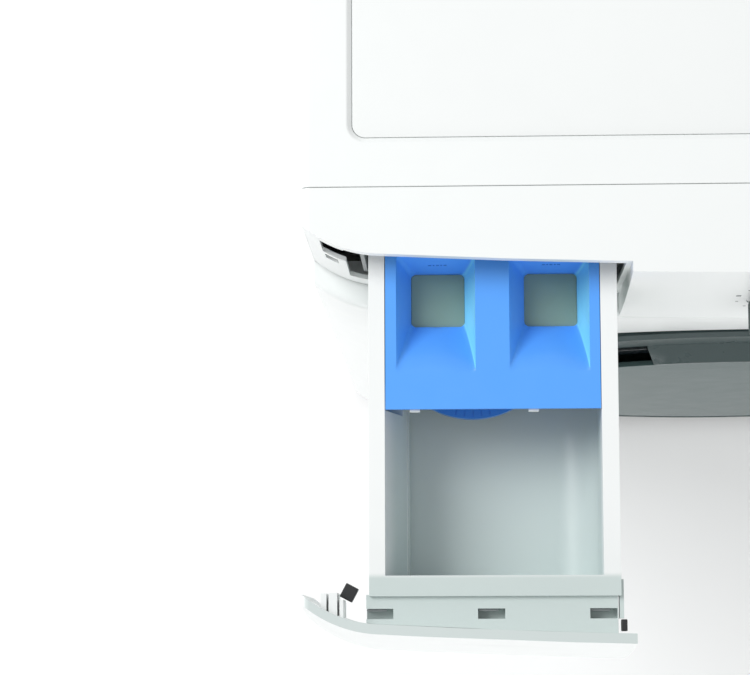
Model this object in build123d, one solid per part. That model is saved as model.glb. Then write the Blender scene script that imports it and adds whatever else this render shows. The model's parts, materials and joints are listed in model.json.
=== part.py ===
from build123d import *
import math
import os

# Front load washing machine, free standing, millimetres, +Z up, +X to the right, +Y to the rear.
# All shapes are drawn with Y = 0 at the top front edge of the control panel, and are then moved
# so that the middle of the whole machine with its open drawer stands over the origin.

WIDTH = 598.0
HALF = WIDTH / 2
HEIGHT = 848.0
SHEET = 2.0
MOULD = 3.0
GAP = 0.4

# Plan curve of the front: a shallow middle arc with tighter corner arcs.
MIDDLE_HALF = 255.0
MIDDLE_SAG = 7.0
CORNER_R = 74.4

# Heights of the bands of the front.
FOOT_H = 12.0
SHELL_Z0 = 14.0
KICK_TOP = 101.0
FRONT_Z0 = 104.0
FRONT_Z1 = 726.0
PANEL_Z0 = 728.0
WORKTOP_Z0 = 829.0
SHELL_Z1 = WORKTOP_Z0 - 0.5

# Depths.
PANEL_BULGE = 9.0
PANEL_MID_BULGE = 6.2
PANEL_MID_Z = 788.0
FORM_SPARE = 3.0
SEAM_Y = 53.4
FRONT_BACK_Y = 30.0
SHELL_Y0 = FRONT_BACK_Y + GAP
SHELL_Y1 = 560.0
WORKTOP_Y1 = 562.0
SPIGOT_Y = 578.0

# Worktop.
EDGE_R = 5.0
RIM = 27.0
BEVEL = 3.0
RECESS = 2.5
BOARD_T = 8.5

# Door and wash group share one axis.
AXIS_Z = 430.0
DISH_R = 243.0
DISH_Y = 10.0
MOUTH_R = 186.0
DOOR_R = 240.0
DOOR_FRONT = -13.0
DOOR_BACK = 6.0
BEZEL_R = 206.0
COVER_R = 190.0
COVER_FRONT = -24.0
HINGE_X = 232.0
HINGE_Y = -8.0
PIN_R = 3.0
HINGE_SLOT_H = 36.0
LATCH_X = -206.0

# Drawer.
NOTCH_X = -103.6
LIP_BACK = 6.2
TRAVEL = 217.0
TRAY_X0 = -260.2
TRAY_X1 = -111.7
TRAY_WALL_L = 9.6
TRAY_WALL_R = 10.0
TRAY_Y0 = -187.7
TRAY_Y1 = 105.0
TRAY_Z0 = 752.0
RIM_Z = 825.0
FLOOR_Z = 760.0
TRAY_FRONT_WALL = 12.2
INSERT_Y0 = -76.8
INSERT_Y1 = 60.0
INSERT_Z0 = 797.0
MOUTH_X0 = -274.7
MOUTH_Z1 = 840.0
DISC_X = -198.0
DISC_Y = -28.0
DISC_R = 52.0
HOUSING_X0 = -266.0
HOUSING_X1 = -106.0
HOUSING_Z0 = 746.0
HOUSING_Y0 = 19.5
HOUSING_Y1 = 330.0
HOUSING_WALL = 2.6

# Wash group.
TUB_R = 262.0
TUB_WALL = 4.0
TUB_Y0 = 90.0
TUB_SPLIT = 250.0
TUB_Y1 = 433.0
NECK_R = 165.0
NECK_Y0 = 66.0
DRUM_R = 238.0
DRUM_WALL = 2.0
DRUM_Y0 = 112.0
DRUM_Y1 = 410.0
DRUM_MOUTH_R = 168.0
HUB_R = 42.0
HUB_Y1 = 480.0
PULLEY_R = 140.0
PULLEY_Y0 = 486.0
PULLEY_W = 14.0
MOTOR_X = 60.0
MOTOR_Z = 108.0
MOTOR_PULLEY_R = 10.0
SPRING_X = 250.0
SPRING_Y = 352.0
DAMPER_X = 180.0
DAMPER_Y = 270.0
SUMP_X = 150.0
SUMP_Y = 150.0
FILTER_X = 214.0
FILTER_Z = 54.0
SPOUT_X = -187.0
SPOUT_Y = 280.0

# Each post behind the fascia's left end: place across, width and depth.
FASCIA_POSTS = ((-286.5, 3.4, 15.0), (-281.0, 5.0, 18.0), (-276.0, 2.2, 16.0))
POST_Z0 = 800.0
POST_Z1 = 836.0
POST_ROOM = 0.7

KNOB_R = 29.0
KNOB_Z = PANEL_MID_Z
BUTTON_R = 6.0
BUTTON_Z = 765.0
BUTTON_XS = (190.0, 240.0)
BUTTON_SHIFT = -7.6

# Back of the cabinet: transit bolt holes, cover screws and what passes through the sheet.
TRANSIT_PLACES = ((-242.0, 610.0), (242.0, 610.0), (-242.0, 250.0), (242.0, 250.0))
COVER_SCREWS = tuple((x, z) for x in (-214.0, 214.0) for z in (200.0, 440.0, 680.0))
SCREW_HOLE_R = 2.1
SPIGOT_X = 230.0
SPIGOT_Z = 790.0
INLET_R = 13.2
OUTLET_R = 10.5
GLAND_X = -240.0
GLAND_Z = 690.0

# Feet, and the flap over the drain filter.
FEET = tuple((x, y) for x in (-262.0, 262.0) for y in (66.0, 528.0))
FOOT_STEM_R = 5.0
FLAP_X0 = 166.0
FLAP_X1 = 262.0
FLAP_Z0 = 25.0
FLAP_Z1 = 84.0
FLAP_HINGE_X = 166.6
FLAP_HINGE_Y = 7.2
FLAP_HINGE_R = 1.3

# Heating element in the bottom of the tub.
HEATER_X = 30.0
HEATER_Z = AXIS_Z - 248.0
HEATER_R = 4.0

# The open drawer's face is the foremost point and the water spigot is the rearmost one.
FRONTMOST = -PANEL_BULGE - TRAVEL + MIDDLE_SAG * (NOTCH_X / MIDDLE_HALF) ** 2
MIDDLE_Y = (FRONTMOST + SPIGOT_Y) / 2


# ---------------------------------------------------------------- helpers

def middle_radius():
    """Radius of the front curve's middle arc."""
    return (MIDDLE_HALF ** 2 + MIDDLE_SAG ** 2) / (2 * MIDDLE_SAG)


def plan(x):
    """Y of the front curve at a place across the middle arc."""
    return middle_radius() - math.sqrt(middle_radius() ** 2 - x ** 2)


def block(x0, x1, y0, y1, z0, z1):
    """A box given by its six faces."""
    return Pos((x0 + x1) / 2, (y0 + y1) / 2, (z0 + z1) / 2) * Box(x1 - x0, y1 - y0, z1 - z0)


def rod_y(x, z, r, y0, y1):
    """A cylinder along Y."""
    return Pos(x, (y0 + y1) / 2, z) * Rot(90, 0, 0) * Cylinder(r, y1 - y0)


def rod_z(x, y, r, z0, z1):
    """A cylinder along Z."""
    return Pos(x, y, (z0 + z1) / 2) * Cylinder(r, z1 - z0)


def ring_y(x, z, r_out, r_in, y0, y1):
    """A flat ring or tube along Y."""
    return rod_y(x, z, r_out, y0, y1) - rod_y(x, z, r_in, y0 - 1, y1 + 1)


def ring_z(x, y, r_out, r_in, z0, z1):
    """A tube along Z."""
    return rod_z(x, y, r_out, z0, z1) - rod_z(x, y, r_in, z0 - 1, z1 + 1)


def turned(points):
    """A body of revolution round the wash axis, from (radius, y) points."""
    outline = Polyline([(r, y) for r, y in points], close=True)
    body = revolve(make_face(outline), Axis.Y, 360)
    return Pos(0, 0, AXIS_Z) * body


def plan_corner(x):
    """Y of the front curve at a place on the left corner arc."""
    centre_x = -MIDDLE_HALF * (1 - CORNER_R / middle_radius())
    centre_y = plan(MIDDLE_HALF) + CORNER_R * math.cos(math.asin(MIDDLE_HALF / middle_radius()))
    return centre_y - math.sqrt(CORNER_R ** 2 - (x - centre_x) ** 2)


def plan_face(shift, back, z, half=HALF):
    """Flat face between the front curve, moved by shift, and a straight back line."""
    middle = ThreePointArc((-MIDDLE_HALF, MIDDLE_SAG), (0, 0), (MIDDLE_HALF, MIDDLE_SAG))
    start = math.asin(MIDDLE_HALF / middle_radius())
    end = math.asin(math.sin(start) + (half - MIDDLE_HALF) / CORNER_R)
    size = math.degrees(end - start)
    right = JernArc(middle @ 1, middle % 1, CORNER_R, size)
    left = mirror(right, Plane.YZ)
    corner = right @ 1
    sides = Polyline((half, corner.Y), (half, back - shift), (-half, back - shift), (-half, corner.Y))
    return Pos(0, shift, z) * make_face([middle, right, left, sides])


def plan_prism(shift, back, z0, z1, half=HALF):
    """Upright solid behind the front curve."""
    return extrude(plan_face(shift, back, z0, half), z1 - z0, dir=(0, 0, 1))


def front_body():
    """The full thickness form that the control panel and the drawer fascia are cut from."""
    back = SEAM_Y - GAP
    wide = HALF + FORM_SPARE
    faces = [
        plan_face(-PANEL_BULGE, back, PANEL_Z0, wide),
        plan_face(-PANEL_MID_BULGE, back, PANEL_MID_Z, wide),
        plan_face(0, back, HEIGHT, wide),
    ]
    body = loft(faces)
    section = RectangleRounded(WIDTH, 2 * HEIGHT, EDGE_R)
    rounded = extrude(Plane.XZ.offset(-back - 10) * section, back + 40)
    return body & rounded


def cut_all(body, tools):
    """Subtracts each tool in turn."""
    for tool in tools:
        body = body - tool
    return body


# ---------------------------------------------------------------- cabinet

def cabinet_shell():
    """Folded sheet wrap: two sides and the back, open at the front, top and bottom."""
    body = block(-HALF, HALF, SHELL_Y0, SHELL_Y1, SHELL_Z0, SHELL_Z1)
    hollow = block(-HALF + SHEET, HALF - SHEET, SHELL_Y0 - 1, SHELL_Y1 - SHEET, 0, HEIGHT)
    body = body - hollow
    window = block(-205, 205, SHELL_Y1 - 10, SHELL_Y1 + 10, 190, 690)
    holes = [window]
    holes.append(rod_y(-SPIGOT_X, SPIGOT_Z, INLET_R + 1.8, SHELL_Y1 - 10, SHELL_Y1 + 10))
    holes.append(rod_y(SPIGOT_X, SPIGOT_Z, OUTLET_R + 1.5, SHELL_Y1 - 10, SHELL_Y1 + 10))
    holes.append(rod_y(GLAND_X, GLAND_Z, 9, SHELL_Y1 - 10, SHELL_Y1 + 10))
    for x, z in TRANSIT_PLACES:
        holes.append(rod_y(x, z, 11, SHELL_Y1 - 10, SHELL_Y1 + 10))
    for x, z in COVER_SCREWS:
        holes.append(rod_y(x, z, SCREW_HOLE_R, SHELL_Y1 - 10, SHELL_Y1 + 10))
    return cut_all(body, holes)


def rear_cover():
    """Pressed service cover over the belt and the drum pulley."""
    y0 = SHELL_Y1
    plate = block(-222, 222, y0, y0 + 1.5, 180, 700)
    body = plate + block(-196, 196, y0, y0 + 8, 200, 680)
    body = body - block(-194.5, 194.5, y0 - 1, y0 + 6.5, 201.5, 678.5)
    for x, z in COVER_SCREWS:
        body = body - rod_y(x, z, SCREW_HOLE_R, y0 - 1, y0 + 10)
    return body


def rear_screws():
    """Six screws of the rear cover."""
    screws = []
    for x, z in COVER_SCREWS:
        y0 = SHELL_Y1 + 1.5
        head = rod_y(x, z, 4.5, y0, y0 + 2.5)
        stem = rod_y(x, z, 2.0, y0 - 12, y0)
        cross = block(x - 0.5, x + 0.5, y0 + 1.5, y0 + 3, z - 2.5, z + 2.5)
        screws.append(head + stem - cross)
    return Compound(screws)


def transit_plugs():
    """Blanking plugs of the transit bolt holes."""
    plugs = []
    for x, z in TRANSIT_PLACES:
        cap = rod_y(x, z, 15, SHELL_Y1, SHELL_Y1 + 3)
        stem = ring_y(x, z, 10.9, 9, SHELL_Y1 - 10, SHELL_Y1)
        plugs.append(cap + stem)
    return Compound(plugs)


def top_brace():
    """Channel across the cabinet that the wash group hangs from."""
    y0 = SPRING_Y - 14
    y1 = SPRING_Y + 14
    bar = block(-HALF + SHEET, HALF - SHEET, y0, y1, 804, 826)
    bar = bar - block(-HALF + 12, HALF - 12, y0 + 2, y1 - 2, 806, 830)
    return bar


def base_tray():
    """Moulded floor of the cabinet with bosses for the feet."""
    side = HALF - SHEET - 0.2
    y0 = SHELL_Y0 + 3
    y1 = SHELL_Y1 - SHEET - 0.2
    body = block(-side, side, y0, y1, 16, 40)
    body = body - block(-side + 3, side - 3, y0 + 3, y1 - 3, 19, 50)
    body = body - block(FILTER_X - 32, FILTER_X + 32, y0 - 1, y0 + 4, 19, 50)
    for x, y in FEET:
        body = body + rod_z(x, y, 13, 16, 36)
    for x, y in FEET:
        body = body - rod_z(x, y, FOOT_STEM_R + 0.1, 10, 50)
    return body


def levelling_feet():
    """Four adjustable feet: rubber shod pad, hexagon and threaded stem in one moulding."""
    feet = []
    for x, y in FEET:
        pad = Pos(x, y, FOOT_H / 4) * Cone(22, 21, FOOT_H / 2)
        dome = Pos(x, y, FOOT_H * 0.75) * Cone(21, 12, FOOT_H / 2)
        stem = rod_z(x, y, FOOT_STEM_R, FOOT_H, 46)
        feet.append(pad + dome + stem)
    return Compound(feet)


def front_panel():
    """Pressed steel front with rounded top edge and a round dish for the door."""
    body = plan_prism(-PANEL_BULGE, FRONT_BACK_Y, FRONT_Z0, FRONT_Z1)
    top_edges = body.edges().group_by(Axis.Z)[-1]
    front_edges = [e for e in top_edges if e.center().Y < FRONT_BACK_Y - 8]
    body = fillet(front_edges, 5)
    inner = plan_prism(-PANEL_BULGE + MOULD, FRONT_BACK_Y + 20, FRONT_Z0 - 1, FRONT_Z1 - MOULD)
    inner = inner & block(-HALF + MOULD, HALF - MOULD, -50, 60, 0, HEIGHT)
    back = FRONT_BACK_Y
    slab = plan_prism(-PANEL_BULGE, back, FRONT_Z0, FRONT_Z1)
    rim = rod_y(0, AXIS_Z, DISH_R + MOULD, -30, DISH_Y + MOULD) & slab
    body = body - inner + rim
    body = body - rod_y(0, AXIS_Z, DISH_R, -30, DISH_Y)
    body = body - rod_y(0, AXIS_Z, MOUTH_R, -30, 40)
    slot = block(LATCH_X - 14, LATCH_X + 14, -30, 40, AXIS_Z - 12, AXIS_Z + 12)
    return body - slot


def kick_plate():
    """Plinth cover, set back below the front panel, with a service hole."""
    outer = plan_prism(3, FRONT_BACK_Y, 17, KICK_TOP)
    inner = plan_prism(6, FRONT_BACK_Y + 20, 10, KICK_TOP - MOULD)
    inner = inner & block(-HALF + 5, HALF - 5, -50, 60, 0, HEIGHT)
    outer = outer & block(-HALF + 2, HALF - 2, -50, 60, 0, HEIGHT)
    hole = block(FLAP_X0 - 2.5, FLAP_X1 + 0.6, -20, 29, FLAP_Z0 - 0.6, FLAP_Z1 + 0.6)
    return outer - inner - hole


def filter_flap():
    """Small door in the plinth over the drain filter, with a hinge bead down its left edge."""
    outer = plan_prism(3, FRONT_BACK_Y, FLAP_Z0, FLAP_Z1)
    inner = plan_prism(5.6, FRONT_BACK_Y + 20, 0, HEIGHT)
    leaf = (outer - inner) & block(FLAP_X0, FLAP_X1, -20, 60, 0, HEIGHT)
    return leaf + rod_z(FLAP_HINGE_X, FLAP_HINGE_Y, FLAP_HINGE_R, FLAP_Z0 + 2, FLAP_Z1 - 2)


def worktop_frame():
    """Moulded frame of the worktop with a bevelled recess for the board."""
    y0 = SEAM_Y
    section = RectangleRounded(WIDTH, 2 * HEIGHT, EDGE_R)
    body = extrude(Plane.XZ.offset(-WORKTOP_Y1) * section, WORKTOP_Y1 - y0)
    body = body & block(-HALF, HALF, y0, WORKTOP_Y1, WORKTOP_Z0, HEIGHT)
    wide = WIDTH - 2 * RIM
    deep = WORKTOP_Y1 - y0 - 2 * RIM
    middle = (WORKTOP_Y1 + y0) / 2
    low = HEIGHT - RECESS
    small = Pos(0, middle, low) * RectangleRounded(wide - 2 * BEVEL, deep - 2 * BEVEL, 8)
    large = Pos(0, middle, HEIGHT) * RectangleRounded(wide, deep, 11)
    recess = loft([small, large])
    seat = extrude(small, -BOARD_T)
    through = block(-wide / 2 + 12, wide / 2 - 12, y0 + RIM + 12, WORKTOP_Y1 - RIM - 12, 800, HEIGHT)
    return body - recess - seat - through


def worktop_panel():
    """The board that lies in the worktop frame."""
    wide = WIDTH - 2 * RIM - 2 * BEVEL - 0.4
    deep = WORKTOP_Y1 - SEAM_Y - 2 * RIM - 2 * BEVEL - 0.4
    face = Pos(0, (WORKTOP_Y1 + SEAM_Y) / 2, HEIGHT - RECESS) * RectangleRounded(wide, deep, 7.8)
    return extrude(face, -BOARD_T)


# ---------------------------------------------------------------- control panel

def control_panel():
    """Moulded panel, with a notch for the drawer's face on the left."""
    under_worktop = block(-HALF - 1, HALF + 1, FRONT_BACK_Y, 100, 0, SHELL_Z1 + GAP)
    form = front_body()
    right = form & block(NOTCH_X, HALF + 1, -60, 100, 0, 900)
    left = form & block(-HALF - 1, NOTCH_X, -60, 100, 0, 900)
    left = left & plan_prism(LIP_BACK, 120, 0, 900)
    inner_right = plan_prism(4, 120, 0, HEIGHT - MOULD)
    inner_right = inner_right & block(NOTCH_X + MOULD, HALF - MOULD, -60, 120, 0, 900)
    inner_left = plan_prism(LIP_BACK + MOULD, 120, 0, HEIGHT - MOULD)
    inner_left = inner_left & block(-HALF + MOULD, NOTCH_X, -60, 120, 0, 900)
    joint = block(NOTCH_X - 1, NOTCH_X + MOULD + 1, HOUSING_Y0 - 4, 120, 0, HEIGHT - MOULD)
    body = (right - inner_right) + (left - inner_left) - joint
    mouth = block(MOUTH_X0, HOUSING_X1 - 1, -30, 48, HOUSING_Z0 + 2, MOUTH_Z1)
    body = body - mouth
    body = body - block(-288, -280, -30, 40, 780, 794)
    for x, wide, deep in FASCIA_POSTS:
        side = wide / 2 + POST_ROOM
        body = body - block(x - side, x + side, -30, 60, POST_Z0 - POST_ROOM, POST_Z1 + POST_ROOM)
    body = body - rod_y(0, KNOB_Z, 5, -40, 20) - rod_y(0, KNOB_Z, KNOB_R + 1, -40, -6.2)
    for x in BUTTON_XS:
        body = body - rod_y(x, BUTTON_Z, BUTTON_R + 0.35, -40, 25)
    return body - block(62, 138, -40, 20, 774, 806) - under_worktop


def display_window():
    """Clear window over the time display."""
    body = block(62.3, 137.7, -12, 14, 774.3, 805.7)
    shape = plan_prism(-PANEL_MID_BULGE + 0.4, 100, 0, 900) - plan_prism(4, 120, 0, 900)
    return body & shape


def program_encoder():
    """Rotary switch behind the control panel that carries the knob's shaft."""
    body = block(-13, 13, 12, 24, KNOB_Z - 13, KNOB_Z + 13) + rod_y(0, KNOB_Z, 7, 8, 12)
    return body - rod_y(0, KNOB_Z, 3.05, 0, 20)


def control_board():
    """Circuit board with its display block and switch blocks."""
    board = block(-60, 280, 26, 28, 742, 812)
    board = board + block(64, 136, 20, 26, 776, 804)
    for x in BUTTON_XS:
        board = board + block(x - 4, x + 4, 22, 26, BUTTON_Z - 4, BUTTON_Z + 4)
    return board + block(-40, 20, 28, 40, 750, 780)


def selector_knob():
    """Programme knob: round grip with a pointer groove, and its shaft."""
    front = -30.0
    back = -7.4
    grip = rod_y(0, KNOB_Z, KNOB_R, front, back)
    edge = grip.edges().group_by(Axis.Y)[0]
    grip = fillet(edge, 3)
    pointer = block(-1.2, 1.2, front - 1, front + 1, KNOB_Z + 14, KNOB_Z + 26)
    shaft = rod_y(0, KNOB_Z, PIN_R, back, 19)
    return grip - pointer + shaft


def push_button(x):
    """One button with a wider collar behind the panel."""
    y0 = plan(x) + BUTTON_SHIFT - 1.8
    cap = rod_y(x, BUTTON_Z, BUTTON_R - 0.1, y0, 16)
    collar = rod_y(x, BUTTON_Z, BUTTON_R + 2.5, 15, 18)
    cap = fillet(cap.edges().group_by(Axis.Y)[0], 1)
    return cap + collar


# ---------------------------------------------------------------- drawer

def drawer_housing():
    """Water box that the drawer slides in, with an outlet spout below."""
    w = HOUSING_WALL
    body = block(HOUSING_X0, HOUSING_X1, HOUSING_Y0, HOUSING_Y1, HOUSING_Z0, SHELL_Z1)
    hollow = block(HOUSING_X0 + w, HOUSING_X1 - w, 0, HOUSING_Y1 - w, HOUSING_Z0 + w, SHELL_Z1 - w + 0.3)
    body = body - hollow
    for x in (TRAY_X0 + 20, TRAY_X1 - 20):
        top = TRAY_Z0 - GAP
        body = body + block(x - 3, x + 3, HOUSING_Y0, HOUSING_Y1 - 80, HOUSING_Z0 + w - 0.5, top)
    body = body + rod_z(SPOUT_X, SPOUT_Y, 16, 724, HOUSING_Z0 + 1)
    return body - rod_z(SPOUT_X, SPOUT_Y, 13, 700, HOUSING_Z0 + w + 1)


def drawer_tray():
    """Detergent tray, with a sloped left floor, a rib and a round right floor."""
    x0 = TRAY_X0 + TRAY_WALL_L
    x1 = TRAY_X1 - TRAY_WALL_R
    y0 = TRAY_Y0 + TRAY_FRONT_WALL
    y1 = TRAY_Y1 - 4
    outer = block(TRAY_X0, TRAY_X1, TRAY_Y0, TRAY_Y1, TRAY_Z0, RIM_Z)
    outer = fillet(outer.edges().filter_by(Axis.Y).group_by(Axis.Z)[0], 6)
    bend = 24.0
    slope = 12.0
    line = Line((x0, RIM_Z + 5), (x0, RIM_Z - 4))
    edge = Line((x0, RIM_Z - 4), (x0 + slope, RIM_Z - 42))
    foot = Line((x0 + slope, RIM_Z - 42), (x0 + slope, FLOOR_Z))
    floor = Line((x0 + slope, FLOOR_Z), (x1 - bend, FLOOR_Z))
    arc = TangentArc((x1 - bend, FLOOR_Z), (x1, FLOOR_Z + bend), tangent=(1, 0))
    wall = Polyline((x1, FLOOR_Z + bend), (x1, RIM_Z + 5), (x0, RIM_Z + 5))
    face = make_face([line, edge, foot, floor, arc, wall])
    pocket = extrude(Plane.XZ.offset(-y1) * face, y1 - y0)
    rib = block(x0 + slope, x0 + slope + 1.6, y0, y1, FLOOR_Z - 1, FLOOR_Z + 14)
    seat = block(x0, x1, INSERT_Y0 - GAP, y1, INSERT_Z0 - 8, RIM_Z + 5)
    body = outer - pocket + rib - seat
    front = block(-262, -113.6, -240, TRAY_Y0 + 1, 772, RIM_Z - 3)
    front = front & (Pos(0, -TRAVEL, 0) * plan_prism(LIP_BACK - 0.2, 80, 0, 900))
    body = body + front
    for x in (-254, -188, -122):
        body = body - block(x - 8, x + 8, -201, -195, RIM_Z - 14, RIM_Z + 5)
    rail = block(TRAY_X1 - 1, TRAY_X1 + 1.6, -201, -178, RIM_Z - 12, RIM_Z - 4)
    return body + rail


def drawer_fascia():
    """Front of the drawer, of the same form as the control panel, shown pulled out."""
    form = front_body() & block(-HALF - 1, NOTCH_X - 1.0, -60, 60, 0, 900)
    body = form - plan_prism(LIP_BACK - GAP, 120, 0, 900, HALF + FORM_SPARE)
    for x, wide, deep in FASCIA_POSTS:
        y0 = plan_corner(x)
        body = body + block(x - wide / 2, x + wide / 2, y0 + 2, y0 + deep, POST_Z0, POST_Z1)
    return Pos(0, -TRAVEL, 0) * body


def drawer_buffers():
    """Rubber stop behind the fascia's left end and the hook at the tray's right."""
    stop = Pos(-272, -185.5, 822) * Rot(0, 0, -28) * Box(8, 9, 10)
    hook = block(TRAY_X1 + 0.3, TRAY_X1 + 3.6, -208.5, -201.5, RIM_Z - 14, RIM_Z - 5)
    return Compound([stop, hook])


def funnel(x0, x1, y0, y1, hole_x0, hole_x1, hole_y0, hole_y1, hole_z):
    """Sloped well from a rim rectangle down to a smaller opening."""
    top = Pos((x0 + x1) / 2, (y0 + y1) / 2, RIM_Z + 0.1) * Rectangle(x1 - x0, y1 - y0)
    low = Pos((hole_x0 + hole_x1) / 2, (hole_y0 + hole_y1) / 2, hole_z)
    low = low * Rectangle(hole_x1 - hole_x0, hole_y1 - hole_y0)
    hole = extrude(low, -30)
    return loft([low, top]) + hole


def drawer_insert():
    """Blue dosing insert with two funnel wells."""
    x0 = TRAY_X0 + TRAY_WALL_L + 0.4
    x1 = TRAY_X1 - TRAY_WALL_R - 0.4
    body = block(x0, x1, INSERT_Y0, INSERT_Y1, INSERT_Z0, RIM_Z - 0.5)
    overhang = block(x0 - 1, x1 + 1, INSERT_Y0 - 1, INSERT_Y0 + 15, INSERT_Z0 - 1, RIM_Z - 3.5)
    body = body - overhang
    wells = [(-243.7, -196.3, -235.8, -203.4), (-176.0, -128.2, -167.0, -134.6)]
    for rim0, rim1, hole0, hole1 in wells:
        body = body - funnel(rim0, rim1, -55, 16, hole0, hole1, -25.5, 7.2, RIM_Z - 23)
    return body


def dosing_disc():
    """Round dosing dial below the insert."""
    disc = rod_z(DISC_X, DISC_Y, DISC_R, 790, 796.6)
    ticks = []
    for angle in (-102, -96, -90, -84, -78):
        x = DISC_X + (DISC_R - 3.5) * math.cos(math.radians(angle))
        y = DISC_Y + (DISC_R - 3.5) * math.sin(math.radians(angle))
        ticks.append(Pos(x, y, 796.6) * Rot(0, 0, angle) * Box(4, 0.8, 0.8))
    return cut_all(disc, ticks)


# ---------------------------------------------------------------- door

def door_frame():
    """Outer ring of the door with the hinge slot and the latch pocket."""
    ring = turned([
        (BEZEL_R, DOOR_FRONT), (DOOR_R - 3, DOOR_FRONT), (DOOR_R, DOOR_FRONT + 3),
        (DOOR_R, DOOR_BACK), (196, DOOR_BACK), (196, -7.5), (BEZEL_R, -7.5),
    ])
    h = HINGE_SLOT_H
    slot = block(HINGE_X - 18, DOOR_R + 5, -30, 30, AXIS_Z - h, AXIS_Z + h)
    pocket = block(LATCH_X - 7, LATCH_X + 7, -6, 20, AXIS_Z - 9, AXIS_Z + 9)
    pin = rod_z(HINGE_X, HINGE_Y, PIN_R, AXIS_Z - 52, AXIS_Z + 52)
    return ring - slot - pocket - pin


def door_bezel():
    """Conical ring between the frame and the cover."""
    ring = turned([
        (BEZEL_R - 0.2, DOOR_FRONT), (COVER_R, COVER_FRONT), (186, COVER_FRONT),
        (186, -7.7), (BEZEL_R - 0.2, -7.7),
    ])
    return ring - grip_sector(183, 215, -30, -9.5)


def grip_sector(r0, r1, y0, y1):
    """Sector of a ring at the door's upper left, where fingers reach in."""
    start = Pos(0, 0, AXIS_Z) * Rot(90, 0, 0)
    ring = ring_y(0, AXIS_Z, r1, r0, y0, y1)
    angles = (112.0, 166.0)
    points = [(0, 0)]
    for angle in (angles[0], sum(angles) / 2, angles[1]):
        points.append((400 * math.cos(math.radians(angle)), 400 * math.sin(math.radians(angle))))
    wedge = Polyline(points, close=True)
    solid = extrude(make_face(wedge), 40, both=True)
    return ring & (start * solid)


def door_grip():
    """Black insert that lines the grip recess."""
    return grip_sector(186.4, BEZEL_R - 0.4, -15, -9.6)


def door_cover():
    """Tinted front cover of the door."""
    y = COVER_FRONT
    outline = [(0, y - 0.5), (120, y - 0.3), (185.7, y + 0.4), (185.7, y + 4), (0, y + 4)]
    return turned(outline)


def door_bowl():
    """Moulded glass bowl that reaches into the drum's mouth."""
    wall = 5.0
    return turned([
        (194, -2), (194, 2), (156, 2), (150, 8), (112, 100), (100, 108), (0, 112),
        (0, 112 - wall), (98, 108 - wall), (107, 97), (145, 6), (152, -2),
    ])


def door_rear_ring():
    """Ring that clamps the bowl from the drum side."""
    return turned([(158, 2.3), (195.5, 2.3), (195.5, 6), (162, 7.5), (158, 6)])


def hinge_pin():
    """Steel hinge pin that turns in the cabinet's bracket."""
    return rod_z(HINGE_X, HINGE_Y, PIN_R, AXIS_Z - 50, AXIS_Z + 50)


def latch_hook():
    """Sprung hook behind the door's left edge, with a round pivot end."""
    stem = block(LATCH_X - 3, LATCH_X + 3, 0, 30, AXIS_Z - 6, AXIS_Z + 6)
    stem = stem + rod_z(LATCH_X, 0, 3, AXIS_Z - 6, AXIS_Z + 6)
    barb = block(LATCH_X - 3, LATCH_X + 8, 24, 30, AXIS_Z - 6, AXIS_Z + 6)
    return stem + barb


def door_lock():
    """Electric lock behind the dish, open to the hook."""
    body = block(-234, -189, DISH_Y + MOULD, 50, AXIS_Z - 35, AXIS_Z + 35)
    return body - block(LATCH_X - 13, LATCH_X + 13, 0, 44, AXIS_Z - 12, AXIS_Z + 12)


def hinge_bracket():
    """Hinge bracket on the dish floor, with the barrel that the pin turns in."""
    z0 = AXIS_Z - 30
    z1 = AXIS_Z + 30
    plate = block(210, 238, DISH_Y - 2, DISH_Y, z0, z1)
    arm = block(HINGE_X - 4, HINGE_X + 4, HINGE_Y, DISH_Y - 1, z0, z1)
    barrel = rod_z(HINGE_X, HINGE_Y, 5, z0, z1)
    return plate + arm + barrel - rod_z(HINGE_X, HINGE_Y, PIN_R + 0.05, z0 - 1, z1 + 1)


# ---------------------------------------------------------------- wash group

def tub_front():
    """Front half of the plastic tub, with the neck for the bellows, inlet and sump spouts."""
    y = TUB_Y0
    r_in = TUB_R - TUB_WALL
    split = TUB_SPLIT - 0.1
    shell = turned([
        (NECK_R - 5, NECK_Y0), (NECK_R, NECK_Y0), (NECK_R, y), (TUB_R, y), (TUB_R, split),
        (r_in, split), (r_in, y + TUB_WALL), (NECK_R - 5, y + TUB_WALL),
    ])
    core = rod_y(0, AXIS_Z, r_in, y + TUB_WALL, split)
    sump = rod_z(SUMP_X, SUMP_Y, 20, 186, 240) - core
    body = shell + sump
    return body - rod_z(SUMP_X, SUMP_Y, 16, 150, 260)


def tub_rear():
    """Rear half of the tub with the bearing hub and the lugs of springs and dampers."""
    r_in = TUB_R - TUB_WALL
    y1 = TUB_Y1
    shell = turned([
        (TUB_R, TUB_SPLIT + 0.1), (TUB_R, y1), (HUB_R, y1), (HUB_R, HUB_Y1), (26, HUB_Y1),
        (26, 462), (20, 462), (20, 448), (31, 448), (31, y1 - 5), (r_in, y1 - 5),
        (r_in, TUB_SPLIT + 0.1),
    ])
    core = rod_y(0, AXIS_Z, r_in, 200, y1 - 5)
    extras = []
    for side in (-1, 1):
        x = side * SPRING_X
        x0, x1 = sorted((x - side * 30, x + side * 8))
        extras.append(block(x0, x1, SPRING_Y - 6, SPRING_Y + 6, 500, 596))
        x = side * DAMPER_X
        extras.append(block(x - 12, x + 12, DAMPER_Y - 10, DAMPER_Y + 10, 222, 260))
    extras.append(rod_z(SPOUT_X, SPOUT_Y, 16, 600, 650))
    for extra in extras:
        shell = shell + (extra - core)
    shell = shell - rod_z(SPOUT_X, SPOUT_Y, 13, 580, 700)
    for x in (-HEATER_X, HEATER_X):
        shell = shell - rod_y(x, HEATER_Z, HEATER_R + 0.1, 400, 460)
    return shell


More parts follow.
